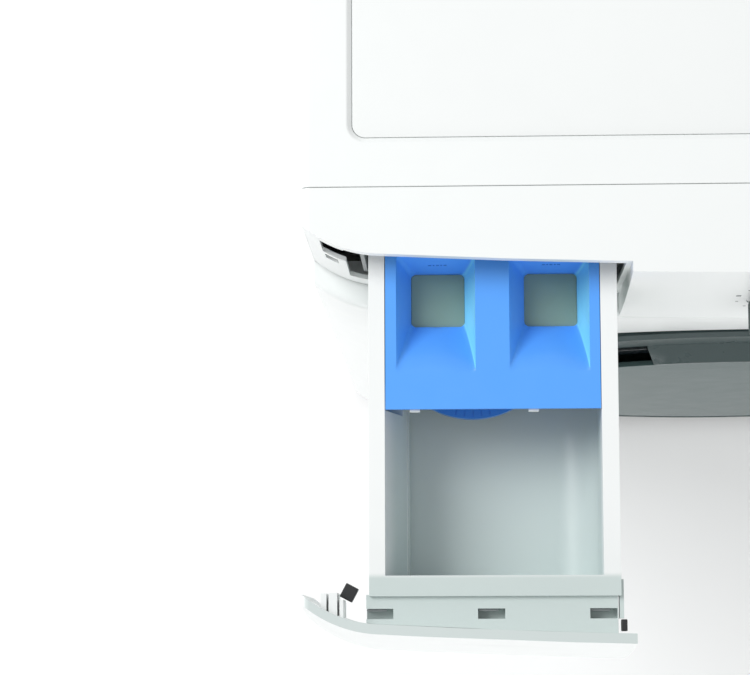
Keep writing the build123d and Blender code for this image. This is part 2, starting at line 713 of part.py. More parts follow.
def heater():
    """Hairpin heating element with its flange."""
    y0 = 150.0
    path = Line((HEATER_X, 446), (HEATER_X, y0))
    bend = ThreePointArc((HEATER_X, y0), (0, y0 - HEATER_X), (-HEATER_X, y0))
    back = Line((-HEATER_X, y0), (-HEATER_X, 446))
    wire = Pos(0, 0, HEATER_Z) * Wire([path, bend, back])
    start = Plane(origin=(HEATER_X, 446, HEATER_Z), z_dir=(0, -1, 0))
    tube = sweep(start * Circle(HEATER_R), wire)
    flange = block(-44, 44, TUB_Y1, TUB_Y1 + 5, HEATER_Z - 10, HEATER_Z + 10)
    return tube + flange


def shaft_bearings():
    """Two ball bearings, 62 by 30 by 16 and 52 by 25 by 15."""
    large = ring_y(0, AXIS_Z, 31, 15, 432, 448)
    small = ring_y(0, AXIS_Z, 26, 12.5, 463, 478)
    return Compound([large, small])


def shaft_seal():
    """Lip seal in front of the large bearing."""
    return ring_y(0, AXIS_Z, 31, 16, TUB_Y1 - 5 + 0.2, 431.8)


def upper_weight():
    """Cast weight on top of the tub."""
    body = block(-95, 130, 110, 250, 640, 728)
    return body - rod_y(0, AXIS_Z, TUB_R + 0.1, 60, 300)


def front_weight():
    """Cast ring round the tub's neck."""
    ring = ring_y(0, AXIS_Z, 250, 196, 62, TUB_Y0)
    return ring - block(-30, 30, 50, 100, 560, 700)


def motor_body():
    """Drive motor below the tub, with its hanger."""
    can = rod_y(MOTOR_X, MOTOR_Z, 44, 300, 440)
    hanger = block(MOTOR_X - 14, MOTOR_X + 14, 340, 400, 140, 200)
    hanger = hanger - rod_y(0, AXIS_Z, TUB_R + 0.1, 200, 450)
    return can + hanger - rod_y(MOTOR_X, MOTOR_Z, 5.05, 430, 441)


def motor_pulley():
    """Motor shaft with its grooved pulley."""
    shaft = rod_y(MOTOR_X, MOTOR_Z, 5, 431, PULLEY_Y0 + PULLEY_W)
    wheel = rod_y(MOTOR_X, MOTOR_Z, MOTOR_PULLEY_R, PULLEY_Y0 - 2, PULLEY_Y0 + PULLEY_W + 2)
    return shaft + wheel


def drive_belt():
    """Ribbed belt round both pulleys."""
    def loop(extra):
        big = Pos(0, AXIS_Z) * Circle(PULLEY_R + extra)
        small = Pos(MOTOR_X, MOTOR_Z) * Circle(MOTOR_PULLEY_R + extra)
        return make_hull(big.edges() + small.edges())
    face = loop(3.4) - loop(0.5)
    return extrude(Plane.XZ.offset(-PULLEY_Y0 - PULLEY_W + 1) * face, PULLEY_W - 2)


def damper_cylinders():
    """Lower tubes of the two friction dampers."""
    tubes = []
    for x in (-DAMPER_X, DAMPER_X):
        tubes.append(rod_z(x, DAMPER_Y, 15, 19, 120) - rod_z(x, DAMPER_Y, 12, 24, 121))
    return Compound(tubes)


def damper_rods():
    """Upper rods of the two friction dampers, each with its piston."""
    rods = []
    for x in (-DAMPER_X, DAMPER_X):
        rods.append(rod_z(x, DAMPER_Y, 6, 80, 222) + rod_z(x, DAMPER_Y, 11.6, 70, 92))
    return Compound(rods)


def suspension_springs():
    """Outer shapes of the two hanging springs."""
    coils = [ring_z(x, SPRING_Y, 13, 9, 596.2, 803.8) for x in (-SPRING_X, SPRING_X)]
    return Compound(coils)


def door_bellows():
    """Rubber bellows between the front's mouth and the tub's neck."""
    return turned([
        (172, 8.5), (185.6, 8.5), (185.6, 16), (181, 30), (181, 58), (170, 66),
        (170, 84), (165.3, 84), (165.3, 62), (175, 52), (175, 30), (170, 14),
    ])


def dispenser_hose():
    """Hose from the drawer housing down to the tub."""
    return ring_z(SPOUT_X, SPOUT_Y, 19.5, 16.2, 640, 738)


def sump_hose():
    """Hose from the tub's sump to the pump."""
    return ring_z(SUMP_X, SUMP_Y, 24, 20.2, 94, 198)


def drain_pump():
    """Pump block with the filter bore in front and the hose spout on top."""
    body = block(180, 247, 44, 170, 19, 88)
    body = body + block(128, 184, 120, 180, 19, 80)
    body = body + rod_z(SUMP_X, SUMP_Y, 20, 79, 106)
    body = body - rod_y(FILTER_X, FILTER_Z, 22, 40, 130)
    return body - rod_z(SUMP_X, SUMP_Y, 16, 50, 120)


def drain_filter():
    """Screw-in filter with its wing grip."""
    cap = rod_y(FILTER_X, FILTER_Z, 27, 33, 43.6)
    body = cap + rod_y(FILTER_X, FILTER_Z, 21.9, 43, 62)
    cage = ring_y(FILTER_X, FILTER_Z, 19, 16, 61, 118)
    grip = block(FILTER_X - 2.5, FILTER_X + 2.5, 24, 34, FILTER_Z - 20, FILTER_Z + 20)
    return body + cage + grip


def inlet_valve():
    """Water valve with its 3/4 inch spigot through the back."""
    coil = block(-250, -210, 505, SHELL_Y1 - SHEET - 0.2, 770, 812)
    neck = rod_y(-SPIGOT_X, SPIGOT_Z, INLET_R, SHELL_Y1 - 6, SPIGOT_Y)
    bore = rod_y(-SPIGOT_X, SPIGOT_Z, 9, SHELL_Y1 - 10, SPIGOT_Y + 1)
    return coil + neck - bore


def drain_outlet():
    """Drain spigot through the back."""
    flange = rod_y(SPIGOT_X, SPIGOT_Z, 18, SHELL_Y1 - SHEET - 6, SHELL_Y1 - SHEET)
    neck = rod_y(SPIGOT_X, SPIGOT_Z, OUTLET_R, SHELL_Y1 - SHEET - 1, SPIGOT_Y)
    return flange + neck - rod_y(SPIGOT_X, SPIGOT_Z, 8, 500, SPIGOT_Y + 1)


def power_gland():
    """Bush that a mains lead would pass through."""
    flange = rod_y(GLAND_X, GLAND_Z, 12, SHELL_Y1, SHELL_Y1 + 3)
    neck = rod_y(GLAND_X, GLAND_Z, 8.9, SHELL_Y1 - 8, SHELL_Y1)
    return flange + neck - rod_y(GLAND_X, GLAND_Z, 4.5, SHELL_Y1 - 20, SHELL_Y1 + 20)


# ---------------------------------------------------------------- drum

def drum():
    """Stainless drum, open at the front."""
    r = DRUM_R
    w = DRUM_WALL
    y0 = DRUM_Y0
    y1 = DRUM_Y1
    return turned([
        (DRUM_MOUTH_R, y0), (r, y0), (r, y1), (17, y1), (17, y1 - w), (r - w, y1 - w),
        (r - w, y0 + w), (DRUM_MOUTH_R, y0 + w),
    ])


def drum_lifters():
    """Three lifters on the drum's wall."""
    lifters = []
    keep = rod_y(0, AXIS_Z, DRUM_R - DRUM_WALL, 100, 420)
    outline = [(-32, -240), (32, -240), (9, -196), (-9, -196)]
    face = make_face(Polyline(outline, close=True))
    wedge = extrude(Plane.XZ.offset(-390) * face, 260)
    for angle in (0, 120, 240):
        lifters.append((Pos(0, 0, AXIS_Z) * Rot(0, angle, 0) * wedge) & keep)
    return Compound([part.solids()[0] for part in lifters])


def drum_spider():
    """Cast spider behind the drum with the shaft through both bearings."""
    y0 = DRUM_Y1
    hub = rod_y(0, AXIS_Z, 40, y0, y0 + 12)
    arms = []
    for angle in (30, 150, 270):
        arm = Rot(0, -angle, 0) * block(0, DRUM_R - 12, y0, y0 + 9, -14, 14)
        arms.append(Pos(0, 0, AXIS_Z) * arm)
    body = hub
    for arm in arms:
        body = body + arm
    body = body + rod_y(0, AXIS_Z, 14.96, y0 + 11, 460)
    body = body + rod_y(0, AXIS_Z, 12.46, 459, PULLEY_Y0 + PULLEY_W)
    return body


def drum_pulley():
    """Spoked drum pulley with its bolt."""
    y0 = PULLEY_Y0
    y1 = y0 + PULLEY_W
    body = ring_y(0, AXIS_Z, PULLEY_R, PULLEY_R - 8, y0, y1)
    body = body + rod_y(0, AXIS_Z, 22, y0, y1)
    for angle in range(0, 180, 36):
        bar = Rot(0, angle, 0) * block(-PULLEY_R + 4, PULLEY_R - 4, y0 + 3, y0 + 9, -6, 6)
        body = body + Pos(0, 0, AXIS_Z) * bar
    return body - rod_y(0, AXIS_Z, 12.46, y0 - 1, y1 + 1)


# ---------------------------------------------------------------- output

SHAPES = [
    cabinet_shell, rear_cover, rear_screws, transit_plugs, top_brace, base_tray, levelling_feet,
    front_panel, kick_plate, filter_flap, worktop_frame, worktop_panel, control_panel,
    display_window, program_encoder, control_board, selector_knob, drawer_housing, drawer_tray,
    drawer_fascia, drawer_buffers, drawer_insert, dosing_disc, door_frame, door_bezel, door_grip,
    door_cover, door_bowl, door_rear_ring, hinge_pin, latch_hook, door_lock, hinge_bracket,
    tub_front, tub_rear, heater, shaft_bearings, shaft_seal, upper_weight, front_weight,
    motor_body, motor_pulley, drive_belt, damper_cylinders, damper_rods, suspension_springs,
    door_bellows, dispenser_hose, sump_hose, drain_pump, drain_filter, inlet_valve, drain_outlet,
    power_gland, drum, drum_lifters, drum_spider, drum_pulley,
]


def main():
    os.makedirs("parts", exist_ok=True)
    pieces = {shape.__name__: shape() for shape in SHAPES}
    buttons = [push_button(x) for x in BUTTON_XS]
    pieces["start_button"] = buttons[-1]
    pieces["option_button"] = buttons[0]
    print(len(pieces), "sub-parts")
    for name, piece in pieces.items():
        export_step(Pos(0, -MIDDLE_Y, 0) * piece, f"parts/{name}.step")


main()
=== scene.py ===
import json
import math

import bmesh
import bpy
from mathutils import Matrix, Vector
from mathutils.bvhtree import BVHTree


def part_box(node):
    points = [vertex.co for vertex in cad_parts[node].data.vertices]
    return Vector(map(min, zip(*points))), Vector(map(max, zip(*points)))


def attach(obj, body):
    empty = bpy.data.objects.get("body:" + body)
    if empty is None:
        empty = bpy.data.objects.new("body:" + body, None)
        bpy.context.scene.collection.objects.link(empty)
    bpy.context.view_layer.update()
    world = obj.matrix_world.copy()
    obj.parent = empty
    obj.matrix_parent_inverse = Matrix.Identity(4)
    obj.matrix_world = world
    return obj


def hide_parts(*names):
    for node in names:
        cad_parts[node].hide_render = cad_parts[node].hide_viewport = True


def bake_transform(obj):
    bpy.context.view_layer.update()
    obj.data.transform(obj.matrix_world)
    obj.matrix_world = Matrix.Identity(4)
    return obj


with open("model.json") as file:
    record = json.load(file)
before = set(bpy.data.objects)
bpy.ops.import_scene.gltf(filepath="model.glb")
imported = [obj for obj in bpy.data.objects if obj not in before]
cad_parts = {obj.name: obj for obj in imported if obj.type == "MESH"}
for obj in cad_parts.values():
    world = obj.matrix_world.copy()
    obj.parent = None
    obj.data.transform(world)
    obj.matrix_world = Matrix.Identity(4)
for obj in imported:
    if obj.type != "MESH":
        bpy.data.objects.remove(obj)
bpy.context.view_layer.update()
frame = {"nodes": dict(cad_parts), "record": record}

MM = 0.001
BODY_OF = {node: body for body, nodes in frame["record"]["behaviour"]["bodies"].items() for node in nodes}
SLOT_OF = {part["node"]: part["material_slot"] for part in frame["record"]["subparts"]}


# ------------------------------------------------------------------ camera and light

def make_camera():
    """Long lens above and in front of the drawer, looking almost straight down."""
    data = bpy.data.cameras.new("camera")
    data.sensor_width = 36.0
    data.lens = 107.11
    data.shift_y = 0.06
    camera = bpy.data.objects.new("camera", data)
    bpy.context.scene.collection.objects.link(camera)
    camera.location = (-0.2087, -0.3926, 2.1457)
    camera.rotation_euler = [math.radians(angle) for angle in (6.697, 2.085, -0.161)]
    bpy.context.scene.camera = camera


def area_light(name, place, aim, size, power):
    """A square soft box that points at a place."""
    data = bpy.data.lights.new(name, "AREA")
    data.size = size
    data.energy = power
    light = bpy.data.objects.new(name, data)
    bpy.context.scene.collection.objects.link(light)
    light.location = place
    light.rotation_euler = (Vector(aim) - Vector(place)).to_track_quat("-Z", "Y").to_euler()


def make_light():
    """Soft studio light: a key from the upper left, two fills from the front and a pale sky."""
    world = bpy.data.worlds.new("studio")
    world.use_nodes = True
    sky = world.node_tree.nodes["Background"]
    sky.inputs["Color"].default_value = (1.0, 1.0, 1.0, 1.0)
    sky.inputs["Strength"].default_value = 0.56
    bpy.context.scene.world = world
    bpy.context.scene.view_settings.view_transform = "Standard"
    centre = (0.0, 0.0, 0.6)
    area_light("key", (-2.2, 0.9, 3.2), centre, 1.6, 72.0)
    area_light("fill", (2.0, -2.4, 2.2), centre, 2.4, 10.0)
    area_light("front", (-0.5, -3.0, 1.2), centre, 2.0, 26.0)


def make_floor():
    """Pale plain floor well past the object."""
    mesh = bpy.data.meshes.new("floor")
    half = 9.0
    corners = [(-half, -half, 0), (half, -half, 0), (half, half, 0), (-half, half, 0)]
    mesh.from_pydata(corners, [], [(0, 1, 2, 3)])
    floor = bpy.data.objects.new("floor", mesh)
    bpy.context.scene.collection.objects.link(floor)
    material = bpy.data.materials.new("floor_paint")
    material.use_nodes = True
    shader = material.node_tree.nodes["Principled BSDF"]
    shader.inputs["Base Color"].default_value = (0.97, 0.975, 0.975, 1.0)
    shader.inputs["Roughness"].default_value = 0.9
    mesh.materials.append(material)


# ------------------------------------------------------------------ materials

def node(tree, kind, **settings):
    """Adds a shader node and sets its properties."""
    made = tree.nodes.new(kind)
    for name, value in settings.items():
        setattr(made, name, value)
    return made


def noise(tree, place, scale, detail=3.0, stretch=(1, 1, 1)):
    """Noise over object space, stretched along the axes."""
    mapping = node(tree, "ShaderNodeMapping")
    mapping.inputs["Scale"].default_value = stretch
    tree.links.new(place, mapping.inputs["Vector"])
    made = node(tree, "ShaderNodeTexNoise")
    made.inputs["Scale"].default_value = scale
    made.inputs["Detail"].default_value = detail
    tree.links.new(mapping.outputs["Vector"], made.inputs["Vector"])
    return made.outputs["Fac"]


# Noise seldom leaves this range.
NOISE_LOW = 0.3
NOISE_HIGH = 0.7


def remap(tree, value, low, high):
    """Spreads a noise value between two numbers."""
    made = node(tree, "ShaderNodeMapRange")
    made.inputs["From Min"].default_value = NOISE_LOW
    made.inputs["From Max"].default_value = NOISE_HIGH
    made.inputs["To Min"].default_value = low
    made.inputs["To Max"].default_value = high
    tree.links.new(value, made.inputs["Value"])
    return made.outputs["Result"]


def mixed(tree, factor, first, second):
    """Colour between two colours or sockets."""
    made = node(tree, "ShaderNodeMix", data_type="RGBA")
    tree.links.new(factor, made.inputs["Factor"])
    for socket, value in (("A", first), ("B", second)):
        target = [i for i in made.inputs if i.name == socket and i.type == "RGBA"][0]
        if isinstance(value, bpy.types.NodeSocket):
            tree.links.new(value, target)
        else:
            target.default_value = (*value, 1.0)
    return [o for o in made.outputs if o.type == "RGBA"][0]


def finish_material(name, colour, rough, metal=0.0, mottle=0.03, mottle_scale=9.0, grain_scale=900.0,
                    grain_depth=0.00002, rough_spread=0.06, stretch=(1, 1, 1), tint=None):
    """Principled surface with mottled colour, uneven gloss and a fine surface grain."""
    material = bpy.data.materials.new(name)
    material.use_nodes = True
    tree = material.node_tree
    shader = tree.nodes["Principled BSDF"]
    place = node(tree, "ShaderNodeTexCoord").outputs["Object"]
    cloud = remap(tree, noise(tree, place, mottle_scale, 4.0, stretch), 0.0, 1.0)
    dark = tuple(channel * (1 - mottle) for channel in colour)
    light = tuple(min(1.0, channel * (1 + mottle)) for channel in colour)
    paint = mixed(tree, cloud, dark, light)
    if tint is not None:
        paint = tint(tree, place, paint)
    tree.links.new(paint, shader.inputs["Base Color"])
    uneven = noise(tree, place, mottle_scale * 7, 3.0, stretch)
    gloss = remap(tree, uneven, rough - rough_spread, rough + rough_spread)
    tree.links.new(gloss, shader.inputs["Roughness"])
    shader.inputs["Metallic"].default_value = metal
    grain = noise(tree, place, grain_scale, 2.0, stretch)
    bump = node(tree, "ShaderNodeBump")
    bump.inputs["Strength"].default_value = 0.5
    bump.inputs["Distance"].default_value = grain_depth
    tree.links.new(grain, bump.inputs["Height"])
    tree.links.new(bump.outputs["Normal"], shader.inputs["Normal"])
    return material


def shader_of(material):
    """The principled shader of a material."""
    return material.node_tree.nodes["Principled BSDF"]


def enamel(name, colour):
    """Sprayed enamel on sheet steel with a faint orange peel."""
    material = finish_material(name, colour, 0.34, mottle=0.006, grain_scale=420.0, grain_depth=0.000002)
    shader_of(material).inputs["Coat Weight"].default_value = 0.35
    shader_of(material).inputs["Coat Roughness"].default_value = 0.12
    return material


def moulding(name, colour, rough=0.42, grain=0.00002, mottle=0.012):
    """Injection moulded plastic with a spark eroded grain."""
    return finish_material(name, colour, rough, mottle=mottle, grain_scale=1700.0, grain_depth=grain)


def ramp(tree, vector, axis, start, end):
    """A soft step from 0 to 1 along one axis of a vector."""
    split = node(tree, "ShaderNodeSeparateXYZ")
    tree.links.new(vector, split.inputs["Vector"])
    made = node(tree, "ShaderNodeMapRange", interpolation_type="SMOOTHSTEP")
    made.inputs["From Min"].default_value = start
    made.inputs["From Max"].default_value = end
    tree.links.new(split.outputs[axis], made.inputs["Value"])
    return made.outputs["Result"]


def painted_light_moulding(name, colour, painted_light_colour):
    """Coloured plastic with a painted highlight: faces turned to the left, towards the key light, are
    painted in a paler colour.
    """
    def tint(tree, place, paint):
        normal = node(tree, "ShaderNodeTexCoord").outputs["Normal"]
        # Painted highlight: the further a face turns to the left, the paler it is painted.
        return mixed(tree, ramp(tree, normal, "X", -0.35, -0.85), paint, painted_light_colour)
    return finish_material(name, colour, 0.34, mottle=0.008, grain_scale=1700.0,
                           grain_depth=0.000003, tint=tint)


def painted_shade_plastic(name, rim_colour, deep_colour, top, bottom, front=None):
    """Plastic with painted shade: the rim colour above a band at the top edge, the deep colour below it, and
    the deep colour again forward of a line.
    """
    def tint(tree, place, paint):
        # Painted shade by height: the rim colour above the band, the deep colour below it.
        made = mixed(tree, ramp(tree, place, "Z", bottom, top), deep_colour, paint)
        if front is None:
            return made
        # Painted shade forward of the line.
        return mixed(tree, ramp(tree, place, "Y", front - 4 * MM, front), deep_colour, made)
    return finish_material(name, rim_colour, 0.36, mottle=0.01, grain_scale=1500.0, tint=tint)


def brushed(name, colour, rough=0.32, stretch=(1, 60, 1)):
    """Metal with fine brushing along one axis."""
    return finish_material(name, colour, rough, metal=1.0, mottle=0.05, mottle_scale=14.0, grain_scale=120.0,
                           grain_depth=0.00002, rough_spread=0.09, stretch=stretch)


def galvanised(name, colour):
    """Zinc coated sheet with crystal spangles."""
    def tint(tree, place, paint):
        cells = node(tree, "ShaderNodeTexVoronoi")
        cells.inputs["Scale"].default_value = 70.0
        tree.links.new(place, cells.inputs["Vector"])
        shade = remap(tree, cells.outputs["Distance"], 0.0, 1.0)
        return mixed(tree, shade, tuple(0.82 * channel for channel in colour), paint)
    return finish_material(name, colour, 0.42, metal=1.0, mottle=0.08, mottle_scale=30.0, tint=tint)


def cast(name, colour, metal=0.0):
    """Rough casting with pits."""
    return finish_material(name, colour, 0.72, metal=metal, mottle=0.14, mottle_scale=40.0,
                           grain_scale=260.0, grain_depth=0.0004, rough_spread=0.14)


def rubber(name, colour):
    """Matt rubber with a dusty bloom."""
    return finish_material(name, colour, 0.68, mottle=0.12, mottle_scale=22.0, grain_scale=800.0,
                           grain_depth=0.00006, rough_spread=0.1)


def glassy(name, colour, tint_weight, rough=0.03):
    """Glass with faint smears in its gloss."""
    material = finish_material(name, colour, rough + 0.03, mottle=0.04, grain_scale=60.0,
                               grain_depth=0.000004, rough_spread=0.025)
    shader_of(material).inputs["Transmission Weight"].default_value = tint_weight
    shader_of(material).inputs["IOR"].default_value = 1.5
    return material


def circuit(name, colour):
    """Solder mask with lighter copper tracks under it."""
    def tint(tree, place, paint):
        tracks = node(tree, "ShaderNodeTexBrick")
        tracks.inputs["Scale"].default_value = 130.0
        tracks.inputs["Mortar Size"].default_value = 0.03
        turn = node(tree, "ShaderNodeMapping")
        turn.inputs["Rotation"].default_value = (math.radians(90), 0, 0)
        tree.links.new(place, turn.inputs["Vector"])
        tree.links.new(turn.outputs["Vector"], tracks.inputs["Vector"])
        return mixed(tree, tracks.outputs["Fac"], colour, (0.16, 0.42, 0.2))
    return finish_material(name, colour, 0.4, tint=tint)


def glowing(name, colour, strength):
    """Plastic lit from inside."""
    material = bpy.data.materials.new(name)
    material.use_nodes = True
    shader = shader_of(material)
    shader.inputs["Emission Color"].default_value = (*colour, 1.0)
    shader.inputs["Emission Strength"].default_value = strength
    return material


# Finishes that reflect less at a low angle than bare plastic does.
SHEEN = {"door_grey": 0.22, "tinted_glass": 0.12}


def make_materials():
    """One finish for each material slot of the record."""
    tray_lo, tray_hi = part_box("drawer_tray")
    fascia_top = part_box("drawer_fascia")[1].z
    made = {
        "white_metal": enamel("white_metal", (0.87, 0.895, 0.89)),
        "white_plastic": moulding("white_plastic", (0.88, 0.905, 0.90), 0.36, 0.000001, 0.005),
        "board_white": moulding("board_white", (0.865, 0.888, 0.882), 0.4, 0.000002, 0.005),
        # The tray is painted grey-green down in its hollow and towards its front: painted shade where less
        # light reaches.
        "tray_plastic": painted_shade_plastic("tray_plastic", (0.87, 0.895, 0.89), (0.60, 0.68, 0.665),
                                    tray_hi.z - 0.4 * MM, tray_hi.z - 26 * MM, tray_lo.y + 36 * MM),
        # The insert's coves that face left get a painted highlight in pale cyan.
        "insert_blue": painted_light_moulding("insert_blue", (0.098, 0.375, 0.98), (0.23, 0.74, 1.0)),
        "disc_blue": moulding("disc_blue", (0.046, 0.235, 0.66), 0.36),
        "door_grey": moulding("door_grey", (0.042, 0.066, 0.067), 0.32, 0.000002),
        "grip_black": moulding("grip_black", (0.006, 0.009, 0.012), 0.22, 0.000008),
        "tinted_glass": glassy("tinted_glass", (0.085, 0.132, 0.132), 0.28, 0.08),
        "clear_glass": glassy("clear_glass", (0.93, 0.97, 0.96), 1.0),
        "black_plastic": moulding("black_plastic", (0.02, 0.021, 0.023), 0.45),
        "grey_plastic": moulding("grey_plastic", (0.34, 0.36, 0.37), 0.5),
        "tub_plastic": moulding("tub_plastic", (0.55, 0.56, 0.54), 0.6, 0.00008, 0.06),
        "rubber": rubber("rubber", (0.06, 0.065, 0.07)),
        "galvanised": galvanised("galvanised", (0.55, 0.57, 0.58)),
        "steel": brushed("steel", (0.58, 0.59, 0.60), 0.28),
        "stainless": brushed("stainless", (0.72, 0.72, 0.73), 0.22, (60, 1, 60)),
        "cast_weight": cast("cast_weight", (0.33, 0.33, 0.32)),
        "aluminium": cast("aluminium", (0.62, 0.63, 0.64), 1.0),
        "board_green": circuit("board_green", (0.02, 0.13, 0.06)),
        "filter_grey": moulding("filter_grey", (0.25, 0.37, 0.29), 0.5),
        "lit_digits": glowing("lit_digits", (0.75, 0.9, 1.0), 1.4),
        # The fascia's top face is painted grey: painted shade, as less light falls on it; the rest stays
        # white.
        "fascia_painted_shade": painted_shade_plastic("fascia_painted_shade", (0.60, 0.665, 0.655), (0.88, 0.905, 0.90),
                                    fascia_top - 0.2 * MM, fascia_top - 1.4 * MM),
    }
    for name, level in SHEEN.items():
        shader_of(made[name]).inputs["Specular IOR Level"].default_value = level
    shader_of(made["tinted_glass"]).inputs["IOR"].default_value = 1.1
    return made


def dress_cad_nodes(materials):
    """Gives every CAD node the finish of its slot."""
    for name, thing in frame["nodes"].items():
        for slot in thing.material_slots:
            slot.link = "OBJECT"
            slot.material = materials[SLOT_OF[name]]


# ------------------------------------------------------------------ mesh helpers

def place_piece(mesh, name, body, slot, material, *replaced):
    """Links a mesh as a piece of the machine."""
    piece = bpy.data.objects.new(name, mesh)
    bpy.context.scene.collection.objects.link(piece)
    mesh.materials.clear()
    mesh.materials.append(material)
    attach(piece, body)
    if replaced:
        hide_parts(*replaced)
    return piece


def modified(mesh, kind, **settings):
    """A mesh after one modifier."""
    thing = bpy.data.objects.new("work", mesh)
    bpy.context.scene.collection.objects.link(thing)
    modifier = thing.modifiers.new("work", kind)
    for name, value in settings.items():
        setattr(modifier, name, value)
    graph = bpy.context.evaluated_depsgraph_get()
    made = bpy.data.meshes.new_from_object(thing.evaluated_get(graph))
    bpy.data.objects.remove(thing)
    return made


def smooth_by_angle(mesh, degrees):
    """Smooth shading that keeps edges sharper than an angle."""
    mesh.shade_smooth()
    mesh.set_sharp_from_angle(angle=math.radians(degrees))


# Angles in degrees: faces flatter than the first are joined, edges sharper than the second are
# rounded, and edges sharper than the third stay crisp in the shading.
FLAT_ANGLE = 0.6
ROUNDED_ANGLE = 35
CRISP_ANGLE = 34


def softened_mesh(node_name, width, segments):
    """A CAD node's form with small rounded edges and evenly shaded flat faces."""
    work = bmesh.new()
    work.from_mesh(frame["nodes"][node_name].data)
    bmesh.ops.remove_doubles(work, verts=work.verts, dist=2e-6)
    flat = math.radians(FLAT_ANGLE)
    bmesh.ops.dissolve_limit(work, angle_limit=flat, verts=work.verts, edges=work.edges)
    points = [vert.co.copy() for vert in work.verts]
    faces = [[vert.index for vert in face.verts] for face in work.faces]
    work.free()
    plain = bpy.data.meshes.new(node_name)
    plain.from_pydata(points, [], faces)
    rounded = modified(plain, "BEVEL", width=width, segments=segments, limit_method="ANGLE",
                       angle_limit=math.radians(ROUNDED_ANGLE), use_clamp_overlap=True)
    smooth_by_angle(rounded, CRISP_ANGLE)
    return modified(rounded, "WEIGHTED_NORMAL", keep_sharp=True)


# Width of each piece's rounded edges, in mm.
SOFTENED = {
    "worktop_frame": 0.7, "worktop_panel": 0.5, "control_panel": 0.7, "front_panel": 0.8,
    "kick_plate": 0.8, "filter_flap": 0.6, "drawer_fascia": 0.6, "drawer_tray": 0.7,
    "door_frame": 0.9, "door_bezel": 0.7, "door_grip": 0.6, "door_cover": 0.6, "cabinet_shell": 0.6,
    "rear_cover": 0.9, "levelling_feet": 0.6, "drain_filter": 0.6,
    "drawer_buffers": 0.5, "dosing_disc": 0.3, "transit_plugs": 0.6, "power_gland": 0.4,
    "inlet_valve": 0.5, "drain_outlet": 0.5, "drawer_housing": 0.5, "door_rear_ring": 0.6,
    "latch_hook": 0.4,
}


# Pieces whose finish isn't the plain one of their slot. The fascia's finish and the plates in the wells
# carry painted shade.
FINISH_OF = {"drawer_fascia": "fascia_painted_shade", "display_digits": "lit_digits", "well_shade_plates": "filter_grey"}


def make_softened(materials):
    """Replaces the hard edged CAD forms by ones with rounded edges."""
    for name, width in SOFTENED.items():
        mesh = softened_mesh(name, width * MM, 2)
        slot = SLOT_OF[name]
        finish = materials[FINISH_OF.get(name, slot)]
        place_piece(mesh, name + "_finished", BODY_OF[name], slot, finish, name)


def mesh_from(name, points, faces, degrees=30):
    """A clean mesh with outward normals, smooth up to an angle."""
    work = bmesh.new()
    verts = [work.verts.new(point) for point in points]
    for face in faces:
        work.faces.new([verts[index] for index in face])
    bmesh.ops.remove_doubles(work, verts=work.verts, dist=1e-6)
    bmesh.ops.recalc_face_normals(work, faces=work.faces)
    mesh = bpy.data.meshes.new(name)
    work.to_mesh(mesh)
    work.free()
    smooth_by_angle(mesh, degrees)
    return mesh


class Shape:
    """Points and faces gathered before they become one mesh."""

    def __init__(self):
        self.points = []
        self.faces = []

    def ring(self, points):
        """Adds a closed ring of points and returns their indices."""
        first = len(self.points)
        self.points.extend(points)
        return list(range(first, len(self.points)))

    def bridge(self, low, high):
        """Quads between two rings of the same size."""
        count = len(low)
        for i in range(count):
            j = (i + 1) % count
            self.faces.append((low[i], low[j], high[j], high[i]))

    def loft(self, rings, close=False):
        """Skins a list of rings, with end caps or round to the first ring."""
        made = [self.ring(points) for points in rings]
        for low, high in zip(made, made[1:]):
            self.bridge(low, high)
        if close:
            self.bridge(made[-1], made[0])
        else:
            self.faces.append(tuple(made[0]))
            self.faces.append(tuple(reversed(made[-1])))

    def turn(self, outline, centre, axis, steps, wave=None):
        """Turns a closed (radius, along) outline round an axis, with an optional radius wave."""
        rings = []
        for step in range(steps):
            angle = math.tau * step / steps
            ring = []
            for radius, along in outline:
                reach = radius if wave is None else wave(radius, along, angle)
                across = (reach * math.cos(angle), reach * math.sin(angle))
                if axis == "Y":
                    ring.append((centre[0] + across[0], along, centre[1] + across[1]))
                else:
                    ring.append((centre[0] + across[0], centre[1] + across[1], along))
            rings.append(ring)
        self.loft(rings, close=True)

    def bar(self, low, high, soften):
        """A bar with chamfered long edges, between two corners."""
        x0, y0, z0 = low
        x1, y1, z1 = high
        c = soften
        rings = []
        for z, inset in ((z0, c), (z0 + c, 0), (z1 - c, 0), (z1, c)):
            a, b, d, e = x0 + inset, x1 - inset, y0 + inset, y1 - inset
            rings.append([(a + c, d, z), (b - c, d, z), (b, d + c, z), (b, e - c, z),
                          (b - c, e, z), (a + c, e, z), (a, e - c, z), (a, d + c, z)])
        self.loft(rings)

    def mesh(self, name, degrees=30):
        """The gathered shape as a clean mesh."""
        return mesh_from(name, self.points, self.faces, degrees)


# ------------------------------------------------------------------ drawer pieces

CORNER_STEPS = 8
SIDE_STEPS = 14
# Each well of the insert, from its left edge: rim and hole places across.
WELLS = ((6.5, 53.9, 15.1, 47.7), (74.2, 122.0, 83.8, 116.1))
WELL_RIM_Y = (21.8, 92.8)
WELL_HOLE_Y = (52.4, 85.3)
WELL_DEPTH = 22.5
WELL_RIM_RADIUS = 3
WELL_HOLE_RADIUS = 3.2
WELL_COLLAR = 1
WELL_STEPS = 20
# How each wall of a well falls: right cove, rear, left and the long front ramp.
WELL_FALL = {0: 0.5, 90: 1.0, 180: 1.1, 270: 1.8}


